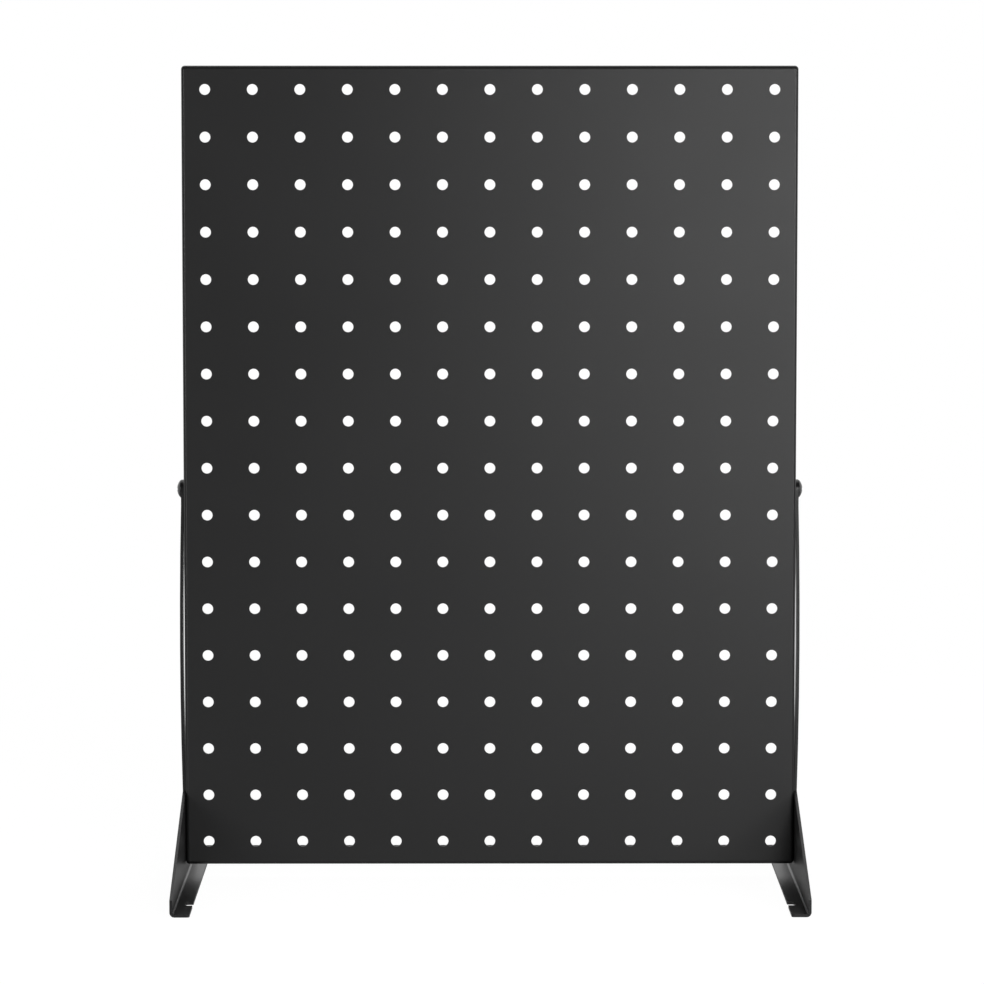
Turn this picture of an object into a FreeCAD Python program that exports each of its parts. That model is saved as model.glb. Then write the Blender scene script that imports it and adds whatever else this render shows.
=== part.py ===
import FreeCAD, Part
import os
import Sketcher

# Desktop pegboard: a shallow folded steel tray with a one inch grid of peg holes, held
# between two folded sheet legs. Each leg is a narrow upright that ends at a pivot screw
# half-way up the tray, and a flared foot plate with an inward flange that stands on the
# desk. The tray leans back about the two screws, which clamp it.
#
# Frame: millimetres, +Z up, +X to the viewer's right, the tray's face looks along -Y.
# The origin is on the desk, midway between the legs and between their front and rear tips.

NODE_FOLDER = "parts"

# Driving dimensions: alias, value, meaning.
SIZES = [
    ("hole_pitch", 25.4, "distance between neighbouring peg holes"),
    ("peg_columns", 13, "peg holes across"),
    ("peg_rows", 17, "peg holes up"),
    ("peg_hole_diameter", 5.8, "peg hole"),
    ("panel_width", 330.2, "tray, outside"),
    ("panel_height", 431.8, "tray, outside"),
    ("panel_depth", 14.0, "tray, front face to the rear of its return lips"),
    ("lip_width", 8.2, "return lip at the tray's rear, from the tray's outside inwards"),
    ("panel_sheet", 1.2, "tray wall"),
    ("panel_edge_radius", 2.0, "outside radius of the tray's folds and corners"),
    ("panel_lift", 8.7, "desk to the tray's lower edge, tray upright"),
    ("face_to_pivot", 8.0, "tray's front face back to the pivot axis"),
    ("pivot_height", 212.8, "desk to the pivot axis"),
    ("leg_sheet", 1.5, "leg wall"),
    ("leg_gap", 0.1, "tray's side to the leg's inner face"),
    ("upright_width", 10.0, "narrow upright of a leg"),
    ("upright_bow", 1.0, "how far the upright bows outwards at its middle"),
    ("bow_end_drop", 9.0, "pivot axis down to the upper end of the bow"),
    ("flare_height", 48.5, "desk to where the foot plate starts to flare"),
    ("tip_height", 9.0, "height of the foot plate's upright tips"),
    ("front_reach", 116.6, "pivot axis to a front foot tip"),
    ("rear_reach", 85.0, "pivot axis to a rear foot tip"),
    ("foot_flange_width", 10.3, "foot flange, from the leg's outer face inwards"),
    ("foot_bend_radius", 2.6, "outside radius of the foot flange's fold"),
    ("foot_corner_radius", 1.5, "rounded corners of the foot flange"),
    ("notch_setback", 30.8, "front foot tip back to the middle of the flange's notch"),
    ("notch_length", 9.8, "notch along the flange"),
    ("notch_depth", 4.0, "notch in from the flange's free edge"),
    ("notch_corner_radius", 1.8, "inner corners of the notch"),
    ("screw_diameter", 3.9, "screw shank, over the thread"),
    ("screw_length", 10.0, "screw shank, under the head"),
    ("screw_head_diameter", 9.4, "domed head"),
    ("screw_head_height", 2.3, "domed head"),
    ("screw_point_chamfer", 0.6, "chamfer at the shank's end"),
    ("recess_width", 4.4, "cross recess, across its wings"),
    ("recess_wing", 1.0, "cross recess, thickness of a wing"),
    ("recess_depth", 1.3, "cross recess"),
    ("shank_clearance", 0.05, "radial clearance of the shank in its holes"),
    ("head_clearance", 0.05, "screw head to the leg's outer face"),
    ("washer_diameter", 8.0, "plain washer, outside"),
    ("washer_thickness", 0.8, "plain washer"),
    ("nut_across_flats", 7.0, "hexagon of the lock nut"),
    ("nut_height", 3.2, "hexagon of the lock nut"),
    ("collar_diameter", 6.2, "round collar of the lock nut"),
    ("collar_height", 1.6, "round collar of the lock nut"),
]


class Cells:
    """Gives the name of a spreadsheet cell as the expressions of other objects write it."""

    def __getattr__(self, alias):
        return "Sizes." + alias


cell = Cells()

doc = FreeCAD.newDocument("DesktopPegboard")
sheet = doc.addObject("Spreadsheet::Sheet", "Sizes")
for row, (alias, number, meaning) in enumerate(SIZES, start=1):
    sheet.set(f"A{row}", meaning)
    sheet.set(f"B{row}", str(number))
    sheet.setAlias(f"B{row}", alias)
doc.recompute()

# Places that several pieces share, worked out from the driving dimensions.
PIVOT_Y = f"(({cell.front_reach} - {cell.rear_reach}) / 2)"
FOOT_HALF = f"(({cell.front_reach} + {cell.rear_reach}) / 2)"
FACE_Y = f"({PIVOT_Y} - {cell.face_to_pivot})"
HALF_WIDTH = f"({cell.panel_width} / 2)"
LEG_INNER_X = f"({HALF_WIDTH} + {cell.leg_gap})"
LEG_OUTER_X = f"({LEG_INNER_X} + {cell.leg_sheet})"
SHANK_HOLE_RADIUS = f"({cell.screw_diameter} / 2 + {cell.shank_clearance})"
UPRIGHT_HALF = f"({cell.upright_width} / 2)"


def value(expression):
    """The number that an expression on the spreadsheet gives."""
    result = sheet.evalExpression(expression)
    return float(getattr(result, "Value", result))


def new_body(label):
    body = doc.addObject("PartDesign::Body", label)
    body.Label = label
    return body


def origin_plane(body, role):
    return next(item for item in body.Origin.OriginFeatures if item.Role == role)


def new_sketch(body, name, role, offset="0"):
    """A sketch on one of the body's origin planes, moved along that plane's normal."""
    sketch = body.newObject("Sketcher::SketchObject", name)
    sketch.AttachmentSupport = (origin_plane(body, role), [""])
    sketch.MapMode = "FlatFace"
    sketch.setExpression("AttachmentOffset.Base.z", offset)
    return sketch


def pin_point(sketch, geometry, point, across, along):
    """Ties a point of a sketch to two expressions, measured from the sketch's origin."""
    for kind, expression in (("DistanceX", across), ("DistanceY", along)):
        index = sketch.addConstraint(
            Sketcher.Constraint(kind, -1, 1, geometry, point, value(expression)))
        sketch.setExpression(f"Constraints[{index}]", expression)


def draw_circle(sketch, across, along, radius):
    centre = FreeCAD.Vector(value(across), value(along), 0)
    circle = Part.Circle(centre, FreeCAD.Vector(0, 0, 1), value(radius))
    index = sketch.addGeometry(circle, False)
    pin_point(sketch, index, 3, across, along)
    size = sketch.addConstraint(Sketcher.Constraint("Radius", index, value(radius)))
    sketch.setExpression(f"Constraints[{size}]", radius)


def draw_outline(sketch, corners):
    """Draws a closed outline through corners, each (across, along) or
    (across, along, radius, turn): with a radius, the stretch to the next corner is an arc,
    whose turn is 1 anticlockwise and -1 clockwise."""
    places = [FreeCAD.Vector(value(corner[0]), value(corner[1]), 0) for corner in corners]
    indices = []
    for number, corner in enumerate(corners):
        start = places[number]
        end = places[(number + 1) % len(corners)]
        if len(corner) == 2:
            index = sketch.addGeometry(Part.LineSegment(start, end), False)
            indices.append((index, 1, 2))
            continue
        radius, turn = value(corner[2]), corner[3]
        chord = end - start
        rise = max(radius ** 2 - (chord.Length / 2) ** 2, 0) ** 0.5
        side = FreeCAD.Vector(-chord.y, chord.x, 0).normalize()
        centre = (start + end) / 2 + side * rise * turn
        first, last = (start, end) if turn > 0 else (end, start)
        circle = Part.Circle(centre, FreeCAD.Vector(0, 0, 1), radius)
        arc = Part.ArcOfCircle(circle, circle.parameter(first), circle.parameter(last))
        index = sketch.addGeometry(arc, False)
        indices.append((index, 1, 2) if turn > 0 else (index, 2, 1))
        size = sketch.addConstraint(Sketcher.Constraint("Radius", index, radius))
        sketch.setExpression(f"Constraints[{size}]", corner[2])
    for number, corner in enumerate(corners):
        index, start_point, _ = indices[number]
        before, _, end_point = indices[number - 1]
        sketch.addConstraint(
            Sketcher.Constraint("Coincident", before, end_point, index, start_point))
        pin_point(sketch, index, start_point, corner[0], corner[1])


def rectangle(left, right, low, high):
    return [(left, low), (right, low), (right, high), (left, high)]


def pad(body, sketch, name, length, reversed_side=False, midplane=False):
    feature = body.newObject("PartDesign::Pad", name)
    feature.Profile = sketch
    feature.SideType = "Symmetric" if midplane else "One side"
    feature.Reversed = reversed_side
    feature.setExpression("Length", length)
    doc.recompute()
    return feature


def pocket(body, sketch, name, length=None, reversed_side=False):
    """Cuts a sketch into a body, through all of it or to a length, and makes sure it cut."""
    before = body.Shape.Volume
    feature = body.newObject("PartDesign::Pocket", name)
    feature.Profile = sketch
    feature.Reversed = reversed_side
    if length is None:
        feature.SideType = "Two sides"
        feature.Type = "ThroughAll"
        feature.Type2 = "ThroughAll"
    else:
        feature.setExpression("Length", length)
    doc.recompute()
    if not feature.Shape.Volume < before:
        raise ValueError(f"{body.Label}: {name} removes nothing")
    return feature


def fillet(body, base, name, radius, chosen):
    """Rounds the edges of a feature whose bounding boxes a test accepts."""
    edges = [f"Edge{number}" for number, edge in enumerate(base.Shape.Edges, start=1)
             if chosen(edge.BoundBox)]
    feature = body.newObject("PartDesign::Fillet", name)
    feature.Base = (base, edges)
    feature.setExpression("Radius", radius)
    doc.recompute()
    return feature


def build_panel():
    """The tray: front sheet, four flanges that return inwards, peg holes and screw holes."""
    body = new_body("panel")
    top = f"({cell.panel_lift} + {cell.panel_height})"

    outline = new_sketch(body, "PanelOutline", "XZ_Plane", f"(-{FACE_Y})")
    draw_outline(outline, rectangle(f"-{HALF_WIDTH}", HALF_WIDTH, cell.panel_lift, top))
    blank = pad(body, outline, "PanelBlank", cell.panel_depth, reversed_side=True)
    fillet(body, blank, "PanelFolds", cell.panel_edge_radius, lambda box: True)

    rear = new_sketch(body, "PanelRear", "XZ_Plane", f"(-({FACE_Y} + {cell.panel_depth}))")
    lip_x = f"({HALF_WIDTH} - {cell.lip_width})"
    draw_outline(rear, rectangle(f"-{lip_x}", lip_x, f"({cell.panel_lift} + {cell.lip_width})",
                                 f"({top} - {cell.lip_width})"))
    pocket(body, rear, "PanelRearOpening", cell.panel_sheet, reversed_side=True)

    inside_x = f"({HALF_WIDTH} - {cell.panel_sheet})"
    inside_low = f"({cell.panel_lift} + {cell.panel_sheet})"
    inside_high = f"({top} - {cell.panel_sheet})"
    inside_rear = f"({FACE_Y} + {cell.panel_depth} - {cell.panel_sheet})"
    inside = new_sketch(body, "PanelInside", "XZ_Plane", f"(-{inside_rear})")
    draw_outline(inside, rectangle(f"-{inside_x}", inside_x, inside_low, inside_high))
    hollow = pocket(body, inside, "PanelHollow", f"({cell.panel_depth} - 2 * {cell.panel_sheet})",
                    reversed_side=True)

    half_sheet = value(cell.panel_sheet) / 2
    inside_front = value(FACE_Y) + value(cell.panel_sheet)

    def inner_fold(box):
        """An edge where two sides of the hollow meet."""
        spans = ((box.XMin, box.XMax, -value(inside_x), value(inside_x)),
                 (box.YMin, box.YMax, inside_front, value(inside_rear)),
                 (box.ZMin, box.ZMax, value(inside_low), value(inside_high)))
        met = [any(abs(least - side) < half_sheet and abs(most - side) < half_sheet
                   for side in sides)
               for least, most, *sides in spans]
        return sum(met) == 2

    fillet(body, hollow, "PanelInnerFolds", f"({cell.panel_edge_radius} - {cell.panel_sheet})",
           inner_fold)

    first_x = f"(-({cell.peg_columns} - 1) * {cell.hole_pitch} / 2)"
    first_z = (f"({cell.panel_lift} + {cell.panel_height} / 2"
               f" - ({cell.peg_rows} - 1) * {cell.hole_pitch} / 2)")
    first_hole = new_sketch(body, "FirstPegHole", "XZ_Plane", f"(-{FACE_Y})")
    draw_circle(first_hole, first_x, first_z, f"{cell.peg_hole_diameter} / 2")
    holes = pocket(body, first_hole, "PegHole", f"2 * {cell.panel_sheet}")

    across = body.newObject("PartDesign::LinearPattern", "PegColumns")
    across.Direction = (first_hole, ["H_Axis"])
    up = body.newObject("PartDesign::LinearPattern", "PegRows")
    up.Direction = (first_hole, ["V_Axis"])
    for pattern, count in ((across, cell.peg_columns), (up, cell.peg_rows)):
        pattern.setExpression("Length", f"({count} - 1) * {cell.hole_pitch}")
        pattern.setExpression("Occurrences", count)
    grid = body.newObject("PartDesign::MultiTransform", "PegGrid")
    grid.Originals = [holes]
    grid.Transformations = [across, up]
    body.Tip = grid
    doc.recompute()

    screw_holes = new_sketch(body, "ScrewHolesSketch", "YZ_Plane")
    draw_circle(screw_holes, PIVOT_Y, cell.pivot_height, SHANK_HOLE_RADIUS)
    pocket(body, screw_holes, "ScrewHoles")
    return body


def leg_section(side):
    """Corners of a leg's cross-section across the object: the upright with its bow, the fold
    and the foot flange. The list runs up the outer face and down the inner one."""
    bow_top = f"({cell.pivot_height} - {cell.bow_end_drop})"
    bow_span = f"({bow_top} - {cell.flare_height})"
    bow_radius = f"(({bow_span} ^ 2 / 4 + {cell.upright_bow} ^ 2) / (2 * {cell.upright_bow}))"
    top = f"({cell.pivot_height} + {cell.upright_width})"
    outer = f"({side} * {LEG_OUTER_X})"
    inner = f"({side} * {LEG_INNER_X})"
    fold_x = f"({side} * ({LEG_OUTER_X} - {cell.foot_bend_radius}))"
    free_x = f"({side} * ({LEG_OUTER_X} - {cell.foot_flange_width}))"
    inner_fold_radius = f"({cell.foot_bend_radius} - {cell.leg_sheet})"
    return [
        (free_x, "0"),
        (fold_x, "0", cell.foot_bend_radius, side),
        (outer, cell.foot_bend_radius),
        (outer, cell.flare_height, bow_radius, side),
        (outer, bow_top),
        (outer, top),
        (inner, top),
        (inner, bow_top, bow_radius, -side),
        (inner, cell.flare_height),
        (inner, cell.foot_bend_radius, inner_fold_radius, -side),
        (fold_x, cell.leg_sheet),
        (free_x, cell.leg_sheet),
    ]


def leg_side_outline():
    """Corners of a leg seen from the side: flared foot, narrow upright, rounded top end."""
    shoulder = cell.pivot_height
    upright_front = f"({PIVOT_Y} - {UPRIGHT_HALF})"
    upright_rear = f"({PIVOT_Y} + {UPRIGHT_HALF})"
    return [
        (f"-{FOOT_HALF}", "0"),
        (FOOT_HALF, "0"),
        (FOOT_HALF, cell.tip_height),
        (upright_rear, cell.flare_height),
        (upright_rear, shoulder, UPRIGHT_HALF, 1),
        (PIVOT_Y, f"({shoulder} + {UPRIGHT_HALF})", UPRIGHT_HALF, 1),
        (upright_front, shoulder),
        (upright_front, cell.flare_height),
        (f"-{FOOT_HALF}", cell.tip_height),
    ]


def build_leg(label, side):
    """A side plate with its foot folded inwards and a notch near the foot's front end."""
    body = new_body(label)

    section = new_sketch(body, label + "_section", "XZ_Plane")
    draw_outline(section, leg_section(side))
    pad(body, section, label + "_folded_strip", f"(2 * {FOOT_HALF})", midplane=True)

    # Everything outside the side outline is cut away in one pocket.
    blank = new_sketch(body, label + "_blank", "YZ_Plane")
    draw_outline(blank, leg_side_outline())
    margin = cell.pivot_height
    draw_outline(blank, rectangle(f"(-{margin})", margin, f"(-{margin})", f"(2 * {margin})"))
    pocket(body, blank, label + "_trimmed")

    pivot_hole = new_sketch(body, label + "_pivot_hole_sketch", "YZ_Plane")
    draw_circle(pivot_hole, PIVOT_Y, cell.pivot_height, SHANK_HOLE_RADIUS)
    pocket(body, pivot_hole, label + "_pivot_hole")

    free_x = f"({side} * ({LEG_OUTER_X} - {cell.foot_flange_width}))"
    notch_x = f"({side} * ({LEG_OUTER_X} - {cell.foot_flange_width} + {cell.notch_depth}))"
    past_x = f"({side} * ({LEG_OUTER_X} - {cell.foot_flange_width} - {cell.notch_depth}))"
    corner_x = f"({notch_x} - {side} * {cell.notch_corner_radius})"
    middle = f"({cell.notch_setback} - {FOOT_HALF})"
    low = f"({middle} - {cell.notch_length} / 2)"
    high = f"({middle} + {cell.notch_length} / 2)"
    notch = new_sketch(body, label + "_notch_sketch", "XY_Plane")
    draw_outline(notch, [
        (past_x, low),
        (corner_x, low, cell.notch_corner_radius, side),
        (notch_x, f"({low} + {cell.notch_corner_radius})"),
        (notch_x, f"({high} - {cell.notch_corner_radius})", cell.notch_corner_radius, side),
        (corner_x, high),
        (past_x, high),
    ])
    notched = pocket(body, notch, label + "_notch", cell.leg_sheet, reversed_side=True)

    half_sheet = value(cell.leg_sheet) / 2

    def foot_corner(box):
        """The upright edges at the two ends of the foot flange's free edge."""
        at_tip = abs(abs(box.Center.y) - value(FOOT_HALF)) < half_sheet
        at_free_edge = abs(box.Center.x - value(free_x)) < half_sheet
        return at_tip and at_free_edge and box.ZLength > half_sheet

    fillet(body, notched, label + "_foot_corners", cell.foot_corner_radius, foot_corner)
    return body


def place_on_pivot(body, side, across):
    """Turns a fastener, drawn along its own +Z, to point outwards on the pivot axis."""
    turn = FreeCAD.Rotation(FreeCAD.Vector(0, 1, 0), 90 * side)
    body.Placement = FreeCAD.Placement(FreeCAD.Vector(0, 0, 0), turn)
    body.setExpression("Placement.Base.x", f"{side} * {across}")
    body.setExpression("Placement.Base.y", PIVOT_Y)
    body.setExpression("Placement.Base.z", cell.pivot_height)


def build_screw(label, side):
    """A domed screw with a cross recess. Its own +Z leaves the head, from under the head."""
    body = new_body(label)
    head_radius = f"({cell.screw_head_diameter} / 2)"
    shank_radius = f"({cell.screw_diameter} / 2)"
    point_radius = f"({shank_radius} - {cell.screw_point_chamfer})"
    dome_radius = (f"(({head_radius} ^ 2 + {cell.screw_head_height} ^ 2)"
                   f" / (2 * {cell.screw_head_height}))")
    profile = new_sketch(body, label + "_profile", "XZ_Plane")
    draw_outline(profile, [
        ("0", f"-{cell.screw_length}"),
        (point_radius, f"-{cell.screw_length}"),
        (shank_radius, f"(-{cell.screw_length} + {cell.screw_point_chamfer})"),
        (shank_radius, "0"),
        (head_radius, "0", dome_radius, 1),
        ("0", cell.screw_head_height),
    ])
    turned = body.newObject("PartDesign::Revolution", label + "_turned")
    turned.Profile = profile
    turned.ReferenceAxis = (profile, ["V_Axis"])
    turned.Angle = 360
    doc.recompute()

    wing_end, wing_side = f"({cell.recess_width} / 2)", f"({cell.recess_wing} / 2)"
    recess = new_sketch(body, label + "_recess_sketch", "XY_Plane", cell.screw_head_height)
    draw_outline(recess, [
        (wing_end, f"-{wing_side}"), (wing_end, wing_side),
        (wing_side, wing_side), (wing_side, wing_end),
        (f"-{wing_side}", wing_end), (f"-{wing_side}", wing_side),
        (f"-{wing_end}", wing_side), (f"-{wing_end}", f"-{wing_side}"),
        (f"-{wing_side}", f"-{wing_side}"), (f"-{wing_side}", f"-{wing_end}"),
        (wing_side, f"-{wing_end}"), (wing_side, f"-{wing_side}"),
    ])
    pocket(body, recess, label + "_recess", cell.recess_depth)
    place_on_pivot(body, side, f"({LEG_OUTER_X} + {cell.head_clearance})")
    return body


def build_washer(label, side):
    """A plain washer against the inside of a side flange. Its own +Z points to the leg."""
    body = new_body(label)
    ring = new_sketch(body, label + "_ring", "XY_Plane")
    draw_circle(ring, "0", "0", f"{cell.washer_diameter} / 2")
    draw_circle(ring, "0", "0", SHANK_HOLE_RADIUS)
    pad(body, ring, label + "_disc", cell.washer_thickness, reversed_side=True)
    place_on_pivot(body, side, f"({HALF_WIDTH} - {cell.panel_sheet})")
    return body


def build_nut(label, side):
    """A lock nut against its washer: a hexagon with a round collar on its far side."""
    body = new_body(label)
    corner = f"({cell.nut_across_flats} / sqrt(3))"
    hexagon = new_sketch(body, label + "_hexagon", "XY_Plane")
    draw_outline(hexagon, [
        (corner, "0"), (f"{corner} / 2", f"{cell.nut_across_flats} / 2"),
        (f"-{corner} / 2", f"{cell.nut_across_flats} / 2"), (f"-{corner}", "0"),
        (f"-{corner} / 2", f"-{cell.nut_across_flats} / 2"),
        (f"{corner} / 2", f"-{cell.nut_across_flats} / 2"),
    ])
    pad(body, hexagon, label + "_block", cell.nut_height, reversed_side=True)
    collar = new_sketch(body, label + "_collar_sketch", "XY_Plane", f"-{cell.nut_height}")
    draw_circle(collar, "0", "0", f"{cell.collar_diameter} / 2")
    pad(body, collar, label + "_collar", cell.collar_height, reversed_side=True)
    bore = new_sketch(body, label + "_bore_sketch", "XY_Plane")
    draw_circle(bore, "0", "0", SHANK_HOLE_RADIUS)
    pocket(body, bore, label + "_bore")
    seat = f"({HALF_WIDTH} - {cell.panel_sheet} - {cell.washer_thickness})"
    place_on_pivot(body, side, seat)
    return body


def build_all():
    pieces = [build_panel()]
    for name, side in (("left", -1), ("right", 1)):
        pieces.append(build_leg(f"{name}_leg", side))
        pieces.append(build_screw(f"{name}_pivot_screw", side))
        pieces.append(build_washer(f"{name}_pivot_washer", side))
        pieces.append(build_nut(f"{name}_pivot_nut", side))
    return pieces


def check_document(pieces):
    """Stops before anything is written if an object failed or a shape isn't sound."""
    for item in doc.Objects:
        if {"Invalid", "Error"} & set(item.State):
            raise ValueError(f"{item.Label} failed: {item.State}")
    for piece in pieces:
        if piece.Shape.isNull() or not piece.Shape.isValid() or not piece.Shape.Solids:
            raise ValueError(f"{piece.Label} has no sound shape")


parts = build_all()
doc.recompute()
check_document(parts)
os.makedirs(NODE_FOLDER, exist_ok=True)
for part in parts:
    part.Shape.exportStep(os.path.join(NODE_FOLDER, part.Label + ".step"))
    box = part.Shape.BoundBox
    print(part.Label, round(part.Shape.Volume, 1), "mm3, X", round(box.XMin, 2), round(box.XMax, 2),
          "Y", round(box.YMin, 2), round(box.YMax, 2), "Z", round(box.ZMin, 2), round(box.ZMax, 2))
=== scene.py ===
import math

import bmesh
import bpy
from bpy.props import FloatProperty, FloatVectorProperty, IntProperty, PointerProperty
from bpy.types import Operator, Panel, PropertyGroup
from mathutils import Matrix, Vector


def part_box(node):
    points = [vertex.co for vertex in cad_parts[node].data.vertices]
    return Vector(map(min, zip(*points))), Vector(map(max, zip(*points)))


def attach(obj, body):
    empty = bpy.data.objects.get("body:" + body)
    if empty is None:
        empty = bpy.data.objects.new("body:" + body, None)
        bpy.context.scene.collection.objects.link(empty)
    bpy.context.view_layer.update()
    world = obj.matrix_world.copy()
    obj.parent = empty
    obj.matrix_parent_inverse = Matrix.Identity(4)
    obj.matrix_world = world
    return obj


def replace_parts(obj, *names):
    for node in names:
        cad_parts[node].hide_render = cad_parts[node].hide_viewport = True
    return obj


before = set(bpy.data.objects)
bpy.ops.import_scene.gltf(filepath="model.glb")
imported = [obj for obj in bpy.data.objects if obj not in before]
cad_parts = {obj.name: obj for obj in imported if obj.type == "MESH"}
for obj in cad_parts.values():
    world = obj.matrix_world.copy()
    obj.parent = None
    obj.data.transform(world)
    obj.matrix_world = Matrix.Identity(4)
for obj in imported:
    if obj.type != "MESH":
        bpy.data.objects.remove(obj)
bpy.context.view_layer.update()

bl_info = {
    "name": "Desktop Pegboard",
    "version": (1, 0, 0),
    "blender": (4, 5, 0),
    "location": "3D View > Sidebar > Pegboard",
    "description": "Dresses a folded steel desk pegboard: coat, fasteners and studio",
    "category": "Object",
}

MILLIMETRE = 0.001
SIDES = {"left": -1, "right": 1}

# The peg grid of the tray.
HOLE_STEP = 25.4 * MILLIMETRE
HOLE_RADIUS = 2.9 * MILLIMETRE

# Wear of the coat: the ring round a screw's head, and the undersides of the feet.
SCUFF_RADIUS = 4.9 * MILLIMETRE
SCUFF_WIDTH = 0.6 * MILLIMETRE
FOOT_WEAR_FULL = 0.1 * MILLIMETRE
FOOT_WEAR_END = 0.9 * MILLIMETRE

# Turned and cut forms: an edge that turns by more than SHARP_TURN stays sharp.
SHARP_TURN = math.radians(40)
THREAD_STEPS = 24
DOME_STEPS = 14

# Screws: the cross recess and its rounded mouth, and the plain neck under the head.
RECESS_WIDTH = 4.4 * MILLIMETRE
RECESS_DEPTH = 1.3 * MILLIMETRE
MOUTH_TURN = math.radians(28)
MOUTH_ROUND = 0.09 * MILLIMETRE
HEAD_ROUND = 0.25 * MILLIMETRE
HEAD_RIM = 0.5 * MILLIMETRE
NECK = 1.1 * MILLIMETRE

# Lock nuts: the hexagon, and the collar that is rolled over the nylon ring.
NUT_HEIGHT = 3.2 * MILLIMETRE
CHAMFER_SHARE = 0.97
CHAMFER_TURN = math.radians(30)
COUNTERSINK = 0.35 * MILLIMETRE
COLLAR_SHARE = 0.885
COLLAR_WALL = 0.45 * MILLIMETRE
COLLAR_ROUND = 0.4 * MILLIMETRE
RING_ROUND = 0.25 * MILLIMETRE
RING_GRIP = 0.15 * MILLIMETRE

# Washers: the rolled outer face and the burr of the stamped one.
WASHER_ROLL = 0.22 * MILLIMETRE
WASHER_BURR = 0.06 * MILLIMETRE

# Lamps: name, place, aim and size in metres, and the setting that holds the power.
LAMPS = (
    ("key_lamp", (0.35, -1.6, 0.40), (0.0, 0.0, 0.22), (0.26, 0.8), "key_power"),
    ("right_lamp", (0.95, -1.1, 0.4), (0.0, 0.0, 0.22), (0.3, 0.6), "right_power"),
    ("left_lamp", (-0.95, -1.1, 0.3), (0.0, 0.0, 0.22), (0.3, 0.6), "left_power"),
    ("top_lamp", (0.0, 0.5, 1.9), (0.0, 0.0, 0.2), (1.5, 1.5), "top_power"),
)

# Table: how far it lies below the feet, its colour as it lights the object, and the darker one
# under its own glow, which keeps a faint shadow where it is seen.
TABLE_DEPTH = 0.05 * MILLIMETRE
TABLE_COLOUR = (0.8, 0.8, 0.8)
GLOWING_COLOUR = (0.10, 0.10, 0.10)

# Room: the headings along Y between which the coat sees it turn from its front to its back.
ROOM_COLOUR = (1.0, 1.0, 1.0)
ROOM_FRONT = -0.15
ROOM_BACK = 0.25


# ---------------------------------------------------------------- shader maths


class Value:
    """A socket of a node tree whose arithmetic adds nodes to the tree."""

    def __init__(self, paint, socket):
        self.paint = paint
        self.socket = socket

    def maths(self, operation, *others):
        """Adds a Math node that takes this value first, then the others."""
        sockets = dict(enumerate((self,) + others))
        return self.paint.node("ShaderNodeMath", {"operation": operation}, sockets)

    def __add__(self, other):
        return self.maths("ADD", other)

    def __sub__(self, other):
        return self.maths("SUBTRACT", other)

    def __mul__(self, other):
        return self.maths("MULTIPLY", other)

    def __radd__(self, other):
        return self.maths("ADD", other)

    def __rmul__(self, other):
        return self.maths("MULTIPLY", other)

    def __rsub__(self, other):
        return self.paint.node("ShaderNodeMath", {"operation": "SUBTRACT"}, {0: other, 1: self})

    def root(self):
        """Square root."""
        return self.maths("SQRT")

    def size(self):
        """The value without its sign."""
        return self.maths("ABSOLUTE")

    def lowest(self, other):
        """The smaller of the two."""
        return self.maths("MINIMUM", other)

    def swing(self, amount):
        """The value from 0 to 1 as a change round zero, amount wide in all."""
        return (self - 0.5) * amount

    def from_step(self, step):
        """Signed distance to the nearest multiple of step."""
        return self.maths("WRAP", step / 2, -step / 2)

    def ramp(self, low, high, out_low=0.0, out_high=1.0):
        """Smooth step from low to high."""
        settings = {"interpolation_type": "SMOOTHSTEP"}
        sockets = {0: self, 1: low, 2: high, 3: out_low, 4: out_high}
        return self.paint.node("ShaderNodeMapRange", settings, sockets)


class Paint:
    """The node tree of one material or world, built from Python."""

    def __init__(self, owner):
        owner.use_nodes = True
        self.tree = owner.node_tree
        self.tree.nodes.clear()

    def node(self, kind, settings=None, sockets=None, output=0):
        """Adds a node: its settings first, then the values or links of its sockets."""
        made = self.tree.nodes.new(kind)
        for name, setting in (settings or {}).items():
            setattr(made, name, setting)
        for name, value in (sockets or {}).items():
            if isinstance(value, Value):
                self.tree.links.new(value.socket, made.inputs[name])
            else:
                made.inputs[name].default_value = value
        return Value(self, made.outputs[output]) if made.outputs else None

    def point(self):
        """Object coordinates, in metres."""
        return self.node("ShaderNodeTexCoord", output="Object")

    def part(self, point, axis):
        """The X, Y or Z of a point, as axis is 0, 1 or 2."""
        return self.node("ShaderNodeSeparateXYZ", None, {0: point}, axis)

    def noise(self, point, waves, detail, stretch=None):
        """Cloudy noise from 0 to 1, with so many waves per metre, times stretch on each axis."""
        if stretch:
            point = self.node("ShaderNodeMapping", None, {"Vector": point, "Scale": stretch})
        sockets = {"Vector": point, "Scale": waves, "Detail": detail}
        return self.node("ShaderNodeTexNoise", None, sockets)

    def blend(self, factor, first, second):
        """Mixes two colours."""
        settings = {"data_type": "RGBA"}
        sockets = {0: factor, 6: first, 7: second}
        return self.node("ShaderNodeMix", settings, sockets, 2)

    def bump(self, height, distance):
        """A normal for relief whose height of 1 stands distance high, in metres."""
        return self.node("ShaderNodeBump", None, {"Height": height, "Distance": distance})

    def rays(self):
        """1 for rays from the camera, for mirrored rays and for rays through glass."""
        return [self.node("ShaderNodeLightPath", None, None, name)
                for name in ("Is Camera Ray", "Is Glossy Ray", "Is Transmission Ray")]

    def surface(self, sockets):
        """Ends a material in a Principled shader with these sockets."""
        shader = self.node("ShaderNodeBsdfPrincipled", None, sockets)
        self.node("ShaderNodeOutputMaterial", None, {"Surface": shader})


def colour(rgb, gain=1.0):
    """RGBA of a colour, made brighter or darker by gain."""
    return (rgb[0] * gain, rgb[1] * gain, rgb[2] * gain, 1.0)


def new_material(name):
    """An empty material and the Paint of its tree."""
    material = bpy.data.materials.new(name)
    return material, Paint(material)


# ---------------------------------------------------------------- settings


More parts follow.
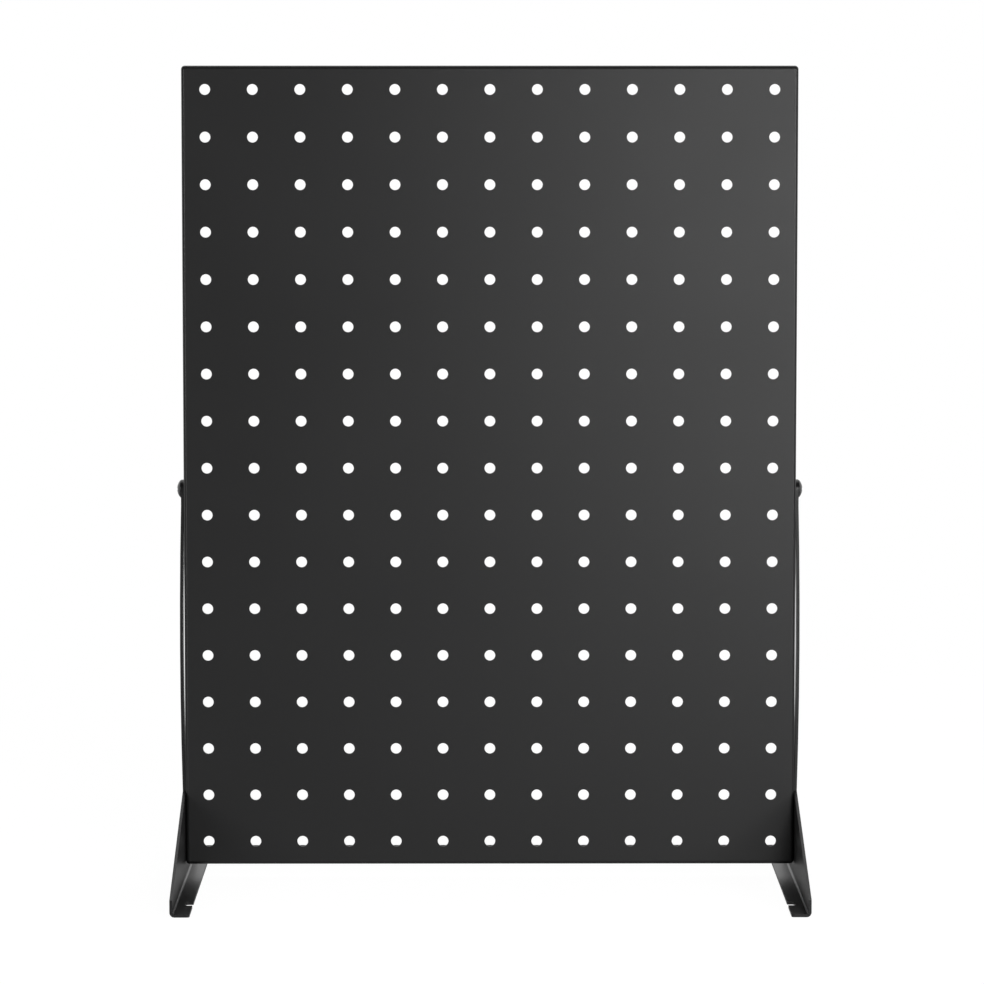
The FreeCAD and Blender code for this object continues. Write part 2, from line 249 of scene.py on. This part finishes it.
class CoatSettings(PropertyGroup):
    """Black powder coat of the tray and the legs."""

    tint: FloatVectorProperty(
        name="Colour", description="Colour of the powder coat", subtype="COLOR",
        size=3, min=0.0, max=1.0, default=(0.0120, 0.0120, 0.0123))
    roughness: FloatProperty(
        name="Roughness", description="Gloss of the coat, 0 is a mirror", subtype="FACTOR",
        min=0.0, max=1.0, default=0.37)
    shine: FloatProperty(
        name="Reflectance", description="Strength of the coat's reflections", subtype="FACTOR",
        min=0.0, max=1.0, default=0.42)
    peel_size: FloatProperty(
        name="Peel size", description="Width of the coat's soft ripples", unit="LENGTH",
        min=0.0001, default=1.3 * MILLIMETRE)
    peel_height: FloatProperty(
        name="Peel height", description="Height of the coat's soft ripples", unit="LENGTH",
        min=0.0, default=0.012 * MILLIMETRE)
    grain_size: FloatProperty(
        name="Grain size", description="Width of the coat's fine grain", unit="LENGTH",
        min=0.0001, default=0.32 * MILLIMETRE)
    rim_width: FloatProperty(
        name="Rim width", description="Thicker coat round each peg hole", unit="LENGTH",
        min=0.0, default=0.55 * MILLIMETRE)


class HardwareSettings(PropertyGroup):
    """Screws, washers and nuts."""

    head_height: FloatProperty(
        name="Head height", description="Domed head of a screw", unit="LENGTH",
        min=0.0, default=2.3 * MILLIMETRE)
    head_diameter: FloatProperty(
        name="Head diameter", description="Domed head of a screw", unit="LENGTH",
        min=0.0, default=9.4 * MILLIMETRE)
    shank_diameter: FloatProperty(
        name="Shank diameter", description="Over the crests of the thread", unit="LENGTH",
        min=0.0, default=3.9 * MILLIMETRE)
    thread_pitch: FloatProperty(
        name="Thread pitch", description="Distance between turns of the thread", unit="LENGTH",
        min=0.0001, default=0.7 * MILLIMETRE)
    nut_flats: FloatProperty(
        name="Nut across flats", description="Hexagon of a nut", unit="LENGTH",
        min=0.0, default=7.0 * MILLIMETRE)
    washer_hole: FloatProperty(
        name="Washer hole", description="Hole of a washer", unit="LENGTH",
        min=0.0, default=4.0 * MILLIMETRE)
    round_steps: IntProperty(
        name="Round steps", description="Facets round a screw head or washer",
        min=12, max=128, default=64)
    screw_tint: FloatVectorProperty(
        name="Screw colour", description="Black oxide of the screws", subtype="COLOR",
        size=3, min=0.0, max=1.0, default=(0.018, 0.018, 0.019))
    zinc_tint: FloatVectorProperty(
        name="Zinc colour", description="Zinc of the washers and nuts", subtype="COLOR",
        size=3, min=0.0, max=1.0, default=(0.52, 0.53, 0.55))
    nylon_tint: FloatVectorProperty(
        name="Nylon colour", description="Locking ring in a nut", subtype="COLOR",
        size=3, min=0.0, max=1.0, default=(0.72, 0.73, 0.70))


class StudioSettings(PropertyGroup):
    """Floor, lamps and camera."""

    lens: FloatProperty(
        name="Lens", description="Focal length on a 36 mm sensor", unit="CAMERA",
        min=1.0, default=163.24)
    camera_back: FloatProperty(
        name="Camera distance", description="Middle of the feet to the camera", unit="LENGTH",
        min=0.0, default=2.3866)
    camera_height: FloatProperty(
        name="Camera height", description="Desk to the camera", unit="LENGTH",
        min=0.0, default=0.43406)
    camera_across: FloatProperty(
        name="Camera across", description="How far the camera stands to the right",
        unit="LENGTH", default=-0.0078)
    camera_pitch: FloatProperty(
        name="Camera pitch", description="How far the camera looks down", subtype="ANGLE",
        unit="ROTATION", default=math.radians(5.305))
    camera_turn: FloatProperty(
        name="Camera turn", description="How far the camera looks to the right", subtype="ANGLE",
        unit="ROTATION", default=math.radians(0.214))
    floor_radius: FloatProperty(
        name="Floor radius", description="Round white table", unit="LENGTH",
        min=0.1, default=0.9)
    floor_glow: FloatProperty(
        name="Table white", description="How bright the camera sees the table", subtype="FACTOR",
        min=0.0, max=1.0, default=0.97)
    floor_shine: FloatProperty(
        name="Table in the coat", description="How bright the coat mirrors the table",
        subtype="FACTOR", min=0.0, max=1.0, default=0.34)
    key_power: FloatProperty(
        name="Key lamp", description="Upright lamp at the front right", unit="POWER",
        min=0.0, default=5.9)
    right_power: FloatProperty(
        name="Right lamp", description="Soft lamp far to the right", unit="POWER",
        min=0.0, default=7.5)
    left_power: FloatProperty(
        name="Left lamp", description="Soft lamp far to the left", unit="POWER",
        min=0.0, default=3.8)
    top_power: FloatProperty(
        name="Top lamp", description="Soft lamp overhead", unit="POWER",
        min=0.0, default=5.0)
    ambient: FloatProperty(
        name="Room light", description="Even light from all round", subtype="FACTOR",
        min=0.0, max=1.0, default=0.16)
    dark_front: FloatProperty(
        name="Front of the room", description="How bright the coat sees the front of the room",
        subtype="FACTOR", min=0.0, max=1.0, default=0.0)


# ---------------------------------------------------------------- finishes


def powder_coat(name, settings, holes=None, scuffs=()):
    """Satin powder coat with soft ripples and fine grain.

    holes is (step, radius, height of a hole, face Y) of the peg grid, for the thicker rims.
    scuffs is (Y, Z, radius) of rings that a fastener has polished, seen from the side.
    """
    material, paint = new_material(name)
    point = paint.point()
    x, y, z = [paint.part(point, axis) for axis in range(3)]
    clouds = paint.noise(point, waves=9.0, detail=3.0)
    peel = paint.noise(point, waves=1 / settings.peel_size, detail=2.0)
    grain = paint.noise(point, waves=1 / settings.grain_size, detail=1.0)
    dust = paint.noise(point, waves=3 / settings.grain_size, detail=0.0)
    specks = dust.ramp(0.66, 0.74)
    grain_height = 0.35
    height = peel + grain * grain_height
    gloss = settings.roughness + clouds.swing(0.07) + grain.swing(0.08)
    if holes:
        step, radius, middle_z, face_y = holes
        across = x.from_step(step)
        upwards = (z - middle_z).from_step(step)
        reach = (across * across + upwards * upwards).root()
        rim = reach.ramp(radius, radius + settings.rim_width, 1.0, 0.0)
        on_face = y.ramp(face_y + 0.2 * MILLIMETRE, face_y + 1.0 * MILLIMETRE, 1.0, 0.0)
        rim_height = 1.6
        height = height + rim * on_face * rim_height
    scuff_gloss = 0.16
    for scuff_y, scuff_z, radius in scuffs:
        beside = y - scuff_y
        above = z - scuff_z
        reach = (beside * beside + above * above).root()
        ring = (reach - radius).size().ramp(0.0, SCUFF_WIDTH, 1.0, 0.0)
        gloss = gloss - ring * clouds * scuff_gloss
    worn = z.ramp(FOOT_WEAR_FULL, FOOT_WEAR_END, 1.0, 0.0) * grain.ramp(0.45, 0.62)
    worn_gloss = 0.12
    gloss = gloss + worn * worn_gloss
    base = paint.blend(clouds, colour(settings.tint, 0.92), colour(settings.tint, 1.1))
    base = paint.blend(specks * 0.5, base, colour(settings.tint, 2.2))
    base = paint.blend(worn * 0.6, base, colour(settings.tint, 3.0))
    paint.surface({
        "Base Color": base,
        "Roughness": gloss,
        "Specular IOR Level": settings.shine,
        "Normal": paint.bump(height, settings.peel_height),
    })
    return material


def black_oxide(name, settings):
    """Oiled black oxide on turned steel."""
    material, paint = new_material(name)
    point = paint.point()
    turning = paint.noise(point, waves=2200.0, detail=2.0, stretch=(6.0, 1.0, 1.0))
    patches = paint.noise(point, waves=420.0, detail=3.0)
    base = paint.blend(patches, colour(settings.screw_tint, 0.8), colour(settings.screw_tint, 1.5))
    paint.surface({
        "Base Color": base,
        "Roughness": 0.30 + patches.swing(0.16) + turning.swing(0.06),
        "Specular IOR Level": 0.6,
        "Normal": paint.bump(turning + patches, 0.004 * MILLIMETRE),
    })
    return material


def bright_zinc(name, settings):
    """Zinc plate over stamped or turned steel, with a faint spangle."""
    material, paint = new_material(name)
    point = paint.point()
    brush = paint.noise(point, waves=1500.0, detail=3.0, stretch=(0.2, 1.0, 5.0))
    spangle = paint.noise(point, waves=700.0, detail=2.0)
    dull = paint.noise(point, waves=160.0, detail=2.0)
    base = paint.blend(dull, colour(settings.zinc_tint, 0.85), colour(settings.zinc_tint, 1.1))
    paint.surface({
        "Base Color": base,
        "Metallic": 1.0,
        "Roughness": 0.27 + dull.swing(0.2) + spangle.swing(0.1),
        "Normal": paint.bump(brush + spangle * 0.6, 0.004 * MILLIMETRE),
    })
    return material


def nylon(name, settings):
    """Natural nylon, slightly translucent."""
    material, paint = new_material(name)
    point = paint.point()
    flow = paint.noise(point, waves=600.0, detail=2.0)
    base = paint.blend(flow, colour(settings.nylon_tint, 0.94), colour(settings.nylon_tint))
    paint.surface({
        "Base Color": base,
        "Roughness": 0.42 + flow.swing(0.12),
        "Subsurface Weight": 0.15,
        "Subsurface Scale": 1.0 * MILLIMETRE,
        "Normal": paint.bump(flow, 0.01 * MILLIMETRE),
    })
    return material


def dress(node, material):
    """Puts a finish on a CAD node whose shape stays."""
    node.data.materials.clear()
    node.data.materials.append(material)


# ---------------------------------------------------------------- shapes


def new_piece(name, shape, material, body):
    """Turns a bmesh into a finished piece that rides on a body."""
    mesh = bpy.data.meshes.new(name)
    shape.to_mesh(mesh)
    shape.free()
    mesh.materials.append(material)
    piece = bpy.data.objects.new(name, mesh)
    bpy.context.scene.collection.objects.link(piece)
    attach(piece, body)
    return piece


def lathe(profile, steps, closed=True):
    """Spins (reach, along) points round the X axis; along is X.

    A closed profile is a ring's section; an open one starts and ends on the axis.
    """
    shape = bmesh.new()
    points = [shape.verts.new((along, reach, 0.0)) for reach, along in profile]
    pairs = list(zip(points, points[1:]))
    if closed:
        pairs.append((points[-1], points[0]))
    edges = [shape.edges.new(pair) for pair in pairs]
    bmesh.ops.spin(
        shape, geom=points + edges, cent=(0, 0, 0), axis=(1, 0, 0), dvec=(0, 0, 0),
        angle=math.tau, steps=steps, use_merge=True, use_duplicate=False)
    bmesh.ops.remove_doubles(shape, verts=shape.verts, dist=1e-7)
    bmesh.ops.dissolve_degenerate(shape, edges=shape.edges, dist=1e-7)
    bmesh.ops.recalc_face_normals(shape, faces=shape.faces)
    return shape


def smooth(shape):
    """Smooth shading, with the edges that turn by more than SHARP_TURN kept sharp."""
    for face in shape.faces:
        face.smooth = True
    for edge in shape.edges:
        edge.smooth = edge.is_manifold and edge.calc_face_angle(0.0) < SHARP_TURN


def arc(middle, radius, start, stop, steps):
    """Points (reach, along) of an arc, in degrees from the outward direction."""
    points = []
    for step in range(steps + 1):
        turn = math.radians(start + (stop - start) * step / steps)
        points.append((middle[0] + radius * math.cos(turn), middle[1] + radius * math.sin(turn)))
    return points


def carve(shape, cutter, operation):
    """Cuts or keeps what cutter covers of shape. Both are used up, and a new one is given."""
    pair = []
    for part in (shape, cutter):
        mesh = bpy.data.meshes.new("carving")
        part.to_mesh(mesh)
        part.free()
        pair.append(bpy.data.objects.new("carving", mesh))
    for item in pair:
        bpy.context.scene.collection.objects.link(item)
    carving = pair[0].modifiers.new("carving", "BOOLEAN")
    carving.operation = operation
    carving.solver = "EXACT"
    carving.object = pair[1]
    bpy.context.view_layer.update()
    graph = bpy.context.evaluated_depsgraph_get()
    mesh = bpy.data.meshes.new_from_object(pair[0].evaluated_get(graph))
    carved = bmesh.new()
    carved.from_mesh(mesh)
    bpy.data.meshes.remove(mesh)
    for item in pair:
        spent = item.data
        bpy.data.objects.remove(item)
        bpy.data.meshes.remove(spent)
    bmesh.ops.remove_doubles(carved, verts=carved.verts, dist=2e-7)
    bmesh.ops.dissolve_degenerate(carved, edges=carved.edges, dist=2e-7)
    return carved


def merge(shape, other):
    """Adds the faces of other to shape, as a separate shell."""
    mesh = bpy.data.meshes.new("joining")
    other.to_mesh(mesh)
    other.free()
    shape.from_mesh(mesh)
    bpy.data.meshes.remove(mesh)


def stand(shape, side, middle):
    """Turns a shape made along +X to point outwards on its side, and moves it there."""
    turn = Matrix.Rotation(0.0 if side > 0 else math.pi, 4, "Z")
    bmesh.ops.transform(shape, matrix=turn, verts=shape.verts)
    bmesh.ops.translate(shape, vec=middle, verts=shape.verts)


def cross_cutter(width, depth, mouth_x):
    """Tapered cross with four wings that opens towards +X at mouth_x."""
    wing = width * 0.13
    half = width / 2
    inner = wing * 1.35
    above = 0.4 * MILLIMETRE
    shape = bmesh.new()
    outline = []
    for quarter in range(4):
        turn = Matrix.Rotation(quarter * math.pi / 2, 3, "X")
        for reach, offset in ((half, -wing), (half, wing), (inner, inner)):
            outline.append(shape.verts.new(turn @ Vector((mouth_x + above, reach, offset))))
    face = shape.faces.new(outline)
    taper = ((above, 1.0), (depth * 0.7, 0.84), (depth * 0.3, 0.45))
    for travel, shrink in taper:
        grown = bmesh.ops.extrude_face_region(shape, geom=[face])["geom"]
        face = [item for item in grown if isinstance(item, bmesh.types.BMFace)][0]
        bmesh.ops.translate(shape, vec=(-travel, 0, 0), verts=face.verts)
        bmesh.ops.scale(shape, vec=(1, shrink, shrink), verts=face.verts)
    bmesh.ops.recalc_face_normals(shape, faces=shape.faces)
    return shape


def thread(radius, depth, pitch, start, length):
    """Right-handed ridge along X, from start down to start - length, its foot inside the core."""
    turns = length / pitch
    steps = round(turns * THREAD_STEPS)
    ridge = bmesh.new()
    foot = radius - depth * 1.15
    crest = radius - depth * 0.12
    corners = ((foot, -0.5), (crest, -0.07), (crest, 0.07), (foot, 0.5))
    points = [ridge.verts.new((start + share * pitch, reach, 0.0)) for reach, share in corners]
    section = ridge.faces.new(points)
    bmesh.ops.spin(
        ridge, geom=[section], cent=(start, 0, 0), axis=(-1, 0, 0),
        dvec=(-length / steps, 0, 0), angle=-turns * math.tau, steps=steps,
        use_merge=False, use_duplicate=False)
    bmesh.ops.recalc_face_normals(ridge, faces=ridge.faces)
    return ridge


def screw_shape(settings, length):
    """A domed cross-recess screw along +X, its bearing face at X = 0, the head outwards."""
    reach = settings.head_diameter / 2
    rise = settings.head_height
    over = rise - HEAD_RIM
    dome = (reach ** 2 + over ** 2) / (2 * over)
    centre = rise - dome
    low = math.degrees(math.asin((HEAD_RIM - centre) / dome))
    shank = settings.shank_diameter / 2
    depth = settings.thread_pitch * 0.55
    core = shank - depth
    profile = [(0.0, -length), (core - depth * 0.6, -length), (core, -length + depth * 0.8),
               (core, -NECK - depth), (shank, -NECK), (shank, 0.0), (reach - HEAD_ROUND, 0.0)]
    profile += arc((reach - HEAD_ROUND, HEAD_ROUND), HEAD_ROUND, -90, 0, 4)[1:]
    profile += arc((0.0, centre), dome, low, 90, DOME_STEPS)
    shape = lathe(profile, settings.round_steps, closed=False)
    shape = carve(shape, cross_cutter(RECESS_WIDTH, RECESS_DEPTH, rise), "DIFFERENCE")
    rounded = [edge for edge in shape.edges
               if edge.is_manifold and edge.calc_face_angle(0.0) > MOUTH_TURN
               and min(corner.co.x for corner in edge.verts) > HEAD_RIM]
    bmesh.ops.bevel(
        shape, geom=rounded, offset=MOUTH_ROUND, offset_type="OFFSET", segments=2,
        profile=0.5, affect="EDGES", clamp_overlap=True, material=-1)
    merge(shape, thread(shank, depth, settings.thread_pitch, -NECK - depth,
                        length - NECK - depth * 2.6))
    smooth(shape)
    return shape


def nut_shape(settings, height, collar, bore):
    """A hexagon nut from X = 0 to +height, with a collar for a locking ring beyond it."""
    half = settings.nut_flats / 2
    corner = half / math.cos(math.pi / 6)
    hexagon = bmesh.new()
    bmesh.ops.create_cone(
        hexagon, cap_ends=True, cap_tris=False, segments=6, radius1=corner, radius2=corner,
        depth=height)
    lay = Matrix.Translation((height / 2, 0, 0)) @ Matrix.Rotation(math.pi / 2, 4, "Y")
    bmesh.ops.transform(hexagon, matrix=lay, verts=hexagon.verts)
    flat = half * CHAMFER_SHARE
    drop = (corner - flat) * math.tan(CHAMFER_TURN)
    outside = corner + MILLIMETRE
    clear = drop + 0.3 * MILLIMETRE
    turned = [(bore + COUNTERSINK, 0.0), (flat, 0.0), (corner, drop), (outside, clear),
              (outside, height - clear), (corner, height - drop), (flat, height),
              (bore + COUNTERSINK, height), (bore, height - COUNTERSINK), (bore, COUNTERSINK)]
    shape = carve(hexagon, lathe(turned, settings.round_steps), "INTERSECT")
    reach = half * COLLAR_SHARE
    inside = reach - COLLAR_WALL
    lip = inside - COLLAR_ROUND
    base = height - 0.2 * MILLIMETRE
    crown = height + collar
    rolled = [(reach, base)]
    rolled += arc((reach - COLLAR_ROUND, crown - COLLAR_ROUND), COLLAR_ROUND, 0, 90, 5)
    rolled += [(lip, crown), (lip, crown - 0.25 * MILLIMETRE),
               (inside, crown - 0.35 * MILLIMETRE), (inside, base)]
    merge(shape, lathe(rolled, settings.round_steps))
    smooth(shape)
    return shape


def ring_shape(settings, height, collar, bore):
    """The nylon ring inside a lock nut's collar."""
    reach = settings.nut_flats / 2 * COLLAR_SHARE - COLLAR_WALL
    crown = height + collar - COLLAR_ROUND
    grip = bore - RING_GRIP
    profile = [(grip, height), (reach, height), (reach, crown)]
    profile += arc((grip + RING_ROUND, crown - RING_ROUND), RING_ROUND, 90, 180, 4)
    shape = lathe(profile, settings.round_steps)
    smooth(shape)
    return shape


def washer_shape(settings, outer, thickness):
    """A stamped washer from X = 0 to +thickness, rolled over on its outer face."""
    hole = settings.washer_hole / 2
    lowered = thickness - WASHER_ROLL
    profile = [(hole, WASHER_BURR), (hole + WASHER_BURR, 0.0),
               (outer - WASHER_BURR, 0.0), (outer, WASHER_BURR)]
    profile += arc((outer - WASHER_ROLL, lowered), WASHER_ROLL, 0, 90, 4)
    profile += arc((hole + WASHER_ROLL, lowered), WASHER_ROLL, 90, 180, 4)
    shape = lathe(profile, settings.round_steps)
    smooth(shape)
    return shape


# ---------------------------------------------------------------- places


def middle_of(node):
    """Middle of a CAD node's box."""
    low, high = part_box(node)
    return (low + high) / 2


def head_place(side):
    """X of the bearing face under a screw's head, and the screw's Y and Z."""
    node = f"{side}_pivot_screw"
    low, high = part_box(node)
    head = bpy.context.scene.pegboard_hardware.head_height
    face = high.x - head if SIDES[side] > 0 else low.x + head
    centre = middle_of(node)
    return (face, centre.y, centre.z)


def outer_end(node, sign):
    """Middle of a fastener's end that faces the leg."""
    low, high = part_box(node)
    centre = middle_of(node)
    return (high.x if sign > 0 else low.x, centre.y, centre.z)


# ---------------------------------------------------------------- operators


class PEGBOARD_OT_studio(Operator):
    """Sets out the white table, the lamps and the camera"""

    bl_idname = "pegboard.studio"
    bl_label = "Studio"

    def execute(self, context):
        studio = context.scene.pegboard_studio
        self.floor(context, studio)
        self.room(context, studio)
        for name, place, aim, size, power in LAMPS:
            self.lamp(name, place, aim, size, getattr(studio, power))
        self.camera(context, studio)
        context.scene.view_settings.view_transform = "Standard"
        return {"FINISHED"}

    def camera(self, context, studio):
        """A level camera that looks slightly down on the front."""
        camera = bpy.data.cameras.new("camera")
        camera.sensor_width = 36.0
        camera.lens = studio.lens
        camera.clip_start = 0.05
        holder = bpy.data.objects.new("camera", camera)
        holder.location = (studio.camera_across, -studio.camera_back, studio.camera_height)
        holder.rotation_euler = (math.pi / 2 - studio.camera_pitch, 0.0, -studio.camera_turn)
        context.scene.collection.objects.link(holder)
        context.scene.camera = holder

    def floor(self, context, studio):
        """A round table that looks white, yet lights the object only as white paint would."""
        disc = bmesh.new()
        bmesh.ops.create_circle(disc, cap_ends=True, segments=96, radius=studio.floor_radius)
        bmesh.ops.translate(disc, vec=(0, 0, -TABLE_DEPTH), verts=disc.verts)
        mesh = bpy.data.meshes.new("floor")
        disc.to_mesh(mesh)
        disc.free()
        floor = bpy.data.objects.new("floor", mesh)
        context.scene.collection.objects.link(floor)
        material, paint = new_material("white_table")
        camera, mirrored, through = paint.rays()
        seen = (camera + mirrored + through).lowest(1.0)
        direct = (camera + through).lowest(1.0)
        strength = direct * studio.floor_glow + mirrored * studio.floor_shine
        plain = paint.node("ShaderNodeBsdfDiffuse", None, {"Color": colour(TABLE_COLOUR)})
        shown = paint.node("ShaderNodeBsdfDiffuse", None, {"Color": colour(GLOWING_COLOUR)})
        glow = paint.node("ShaderNodeEmission", None, {"Strength": strength})
        lit = paint.node("ShaderNodeAddShader", None, {0: shown, 1: glow})
        mixed = paint.node("ShaderNodeMixShader", None, {0: seen, 1: plain, 2: lit})
        paint.node("ShaderNodeOutputMaterial", None, {"Surface": mixed})
        mesh.materials.append(material)

    def room(self, context, studio):
        """White where it is seen, dim as a light, and dark in the coat towards the front."""
        world = bpy.data.worlds.new("room")
        context.scene.world = world
        paint = Paint(world)
        camera, mirrored, through = paint.rays()
        heading = paint.node("ShaderNodeTexCoord", None, None, "Generated")
        behind = paint.part(heading, 1).ramp(ROOM_FRONT, ROOM_BACK, studio.dark_front, 1.0)
        other = (1 - camera) * (1 - mirrored) * (1 - through)
        strength = camera + (mirrored + through) * behind + other * studio.ambient
        white = {"Color": colour(ROOM_COLOUR), "Strength": strength}
        light = paint.node("ShaderNodeBackground", None, white)
        paint.node("ShaderNodeOutputWorld", None, {"Surface": light})

    def lamp(self, name, place, aim, size, power):
        """A rectangular lamp that the camera doesn't see."""
        light = bpy.data.lights.new(name, "AREA")
        light.shape = "RECTANGLE"
        light.size, light.size_y = size
        light.energy = power
        holder = bpy.data.objects.new(name, light)
        holder.location = place
        holder.rotation_euler = (Vector(aim) - Vector(place)).to_track_quat("-Z", "Y").to_euler()
        holder.visible_camera = False
        bpy.context.scene.collection.objects.link(holder)


class PEGBOARD_OT_coat(Operator):
    """Coats the tray and the legs"""

    bl_idname = "pegboard.coat"
    bl_label = "Powder coat"

    def execute(self, context):
        settings = context.scene.pegboard_coat
        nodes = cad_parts
        low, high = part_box("panel")
        grid = (HOLE_STEP, HOLE_RADIUS, (low.z + high.z) / 2, low.y)
        dress(nodes["panel"], powder_coat("tray_coat", settings, holes=grid))
        scuffs = [head_place("left")[1:] + (SCUFF_RADIUS,)]
        legs = powder_coat("leg_coat", settings, scuffs=scuffs)
        dress(nodes["left_leg"], legs)
        dress(nodes["right_leg"], legs)
        return {"FINISHED"}


class PEGBOARD_OT_screws(Operator):
    """Makes the two domed black screws with their threads"""

    bl_idname = "pegboard.screws"
    bl_label = "Screws"

    def execute(self, context):
        settings = context.scene.pegboard_hardware
        material = black_oxide("black_oxide", settings)
        for side, sign in SIDES.items():
            node = f"{side}_pivot_screw"
            low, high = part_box(node)
            shape = screw_shape(settings, high.x - low.x - settings.head_height)
            stand(shape, sign, head_place(side))
            piece = new_piece(f"{side}_pivot_bolt", shape, material, "panel")
            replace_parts(piece, node)
        return {"FINISHED"}


class PEGBOARD_OT_washers(Operator):
    """Makes the two stamped washers"""

    bl_idname = "pegboard.washers"
    bl_label = "Washers"

    def execute(self, context):
        settings = context.scene.pegboard_hardware
        material = bright_zinc("washer_zinc", settings)
        for side, sign in SIDES.items():
            node = f"{side}_pivot_washer"
            low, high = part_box(node)
            shape = washer_shape(settings, (high.z - low.z) / 2, high.x - low.x)
            stand(shape, -sign, outer_end(node, sign))
            piece = new_piece(f"{side}_pivot_disc", shape, material, "panel")
            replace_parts(piece, node)
        return {"FINISHED"}


class PEGBOARD_OT_nuts(Operator):
    """Makes the two lock nuts with their nylon rings"""

    bl_idname = "pegboard.nuts"
    bl_label = "Nuts"

    def execute(self, context):
        settings = context.scene.pegboard_hardware
        zinc = bright_zinc("nut_zinc", settings)
        plastic = nylon("locking_nylon", settings)
        bore = settings.shank_diameter / 2
        for side, sign in SIDES.items():
            node = f"{side}_pivot_nut"
            low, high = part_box(node)
            collar = high.x - low.x - NUT_HEIGHT
            where = outer_end(node, sign)
            shape = nut_shape(settings, NUT_HEIGHT, collar, bore)
            stand(shape, -sign, where)
            name = f"{side}_pivot_hexagon"
            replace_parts(new_piece(name, shape, zinc, "panel"), node)
            ring = ring_shape(settings, NUT_HEIGHT, collar, bore)
            stand(ring, -sign, where)
            new_piece(f"{side}_pivot_ring", ring, plastic, "panel")
        return {"FINISHED"}


class PEGBOARD_PT_sidebar(Panel):
    """Lists the steps and their settings"""

    bl_idname = "PEGBOARD_PT_sidebar"
    bl_label = "Desktop Pegboard"
    bl_space_type = "VIEW_3D"
    bl_region_type = "UI"
    bl_category = "Pegboard"

    def draw(self, context):
        for step in STEPS:
            self.layout.operator(step.bl_idname)
        for group, _ in SETTINGS:
            settings = getattr(context.scene, group)
            box = self.layout.box()
            for name in settings.bl_rna.properties.keys():
                if name not in ("rna_type", "name"):
                    box.prop(settings, name)


STEPS = (PEGBOARD_OT_studio, PEGBOARD_OT_coat, PEGBOARD_OT_screws, PEGBOARD_OT_washers,
         PEGBOARD_OT_nuts)
SETTINGS = (("pegboard_coat", CoatSettings), ("pegboard_hardware", HardwareSettings),
            ("pegboard_studio", StudioSettings))


def register():
    """Adds the settings, the steps and the panel to Blender."""
    for _, group in SETTINGS:
        bpy.utils.register_class(group)
    for step in STEPS + (PEGBOARD_PT_sidebar,):
        bpy.utils.register_class(step)
    for name, group in SETTINGS:
        setattr(bpy.types.Scene, name, PointerProperty(type=group))


def unregister():
    """Takes them away again."""
    for name, _ in SETTINGS:
        delattr(bpy.types.Scene, name)
    for step in reversed(STEPS + (PEGBOARD_PT_sidebar,)):
        bpy.utils.unregister_class(step)
    for _, group in reversed(SETTINGS):
        bpy.utils.unregister_class(group)


def main():
    """Builds the scene."""
    register()
    bpy.ops.pegboard.studio()
    bpy.ops.pegboard.coat()
    bpy.ops.pegboard.screws()
    bpy.ops.pegboard.washers()
    bpy.ops.pegboard.nuts()


if __name__ == "__main__":
    main()
